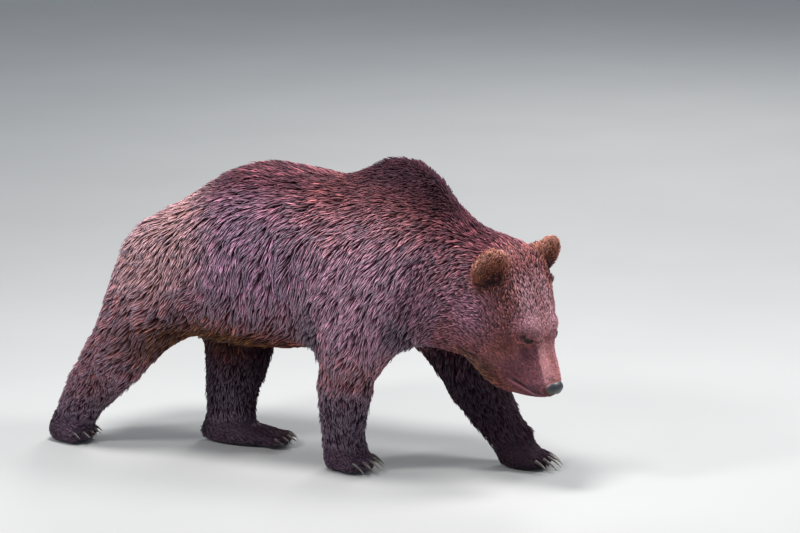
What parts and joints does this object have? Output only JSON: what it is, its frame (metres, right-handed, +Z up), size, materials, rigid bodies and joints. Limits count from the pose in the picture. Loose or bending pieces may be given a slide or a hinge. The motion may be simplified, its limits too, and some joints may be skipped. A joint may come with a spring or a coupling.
{
  "type": "brown bear",
  "caption": "Life-size still model of a brown bear at a walk, head low and turned to its right, in a thick wet coat",
  "frame": {"origin": "on the floor under the middle of the bear's outline", "axes": "+X is the way the bear walks, +Y its left, +Z up"},
  "size_m": [1.7148, 0.549, 0.9698],
  "materials": {
    "trunk": "dense fur, wet in clumps",
    "legs": "dense fur, wet in clumps",
    "paws": "dense fur, wet in clumps",
    "neck": "dense fur, wet in clumps",
    "head": "dense fur, wet in clumps",
    "nose": "bare, moist, fine-grained",
    "eye": "dark brown, glossy",
    "claw": "pale horn, worn"
  },
  "bodies": {
    "root": {"ear_left": "head", "ear_right": "head", "eye_left": "eye", "eye_right": "eye", "front_left_claw_1": "claw", "front_left_claw_2": "claw", "front_left_claw_3": "claw", "front_left_claw_4": "claw", "front_left_claw_5": "claw", "front_left_lower_leg": "legs", "front_left_paw": "paws", "front_left_upper_leg": "trunk", "front_right_claw_1": "claw", "front_right_claw_2": "claw", "front_right_claw_3": "claw", "front_right_claw_4": "claw", "front_right_claw_5": "claw", "front_right_lower_leg": "legs", "front_right_paw": "paws", "front_right_upper_leg": "trunk", "head": "head", "hind_left_claw_1": "claw", "hind_left_claw_2": "claw", "hind_left_claw_3": "claw", "hind_left_claw_4": "claw", "hind_left_claw_5": "claw", "hind_left_lower_leg": "legs", "hind_left_paw": "paws", "hind_left_upper_leg": "trunk", "hind_right_claw_1": "claw", "hind_right_claw_2": "claw", "hind_right_claw_3": "claw", "hind_right_claw_4": "claw", "hind_right_claw_5": "claw", "hind_right_lower_leg": "legs", "hind_right_paw": "paws", "hind_right_upper_leg": "trunk", "lower_jaw": "head", "neck": "neck", "nose": "nose", "tail": "trunk", "trunk": "trunk"}
  },
  "joints": []
}
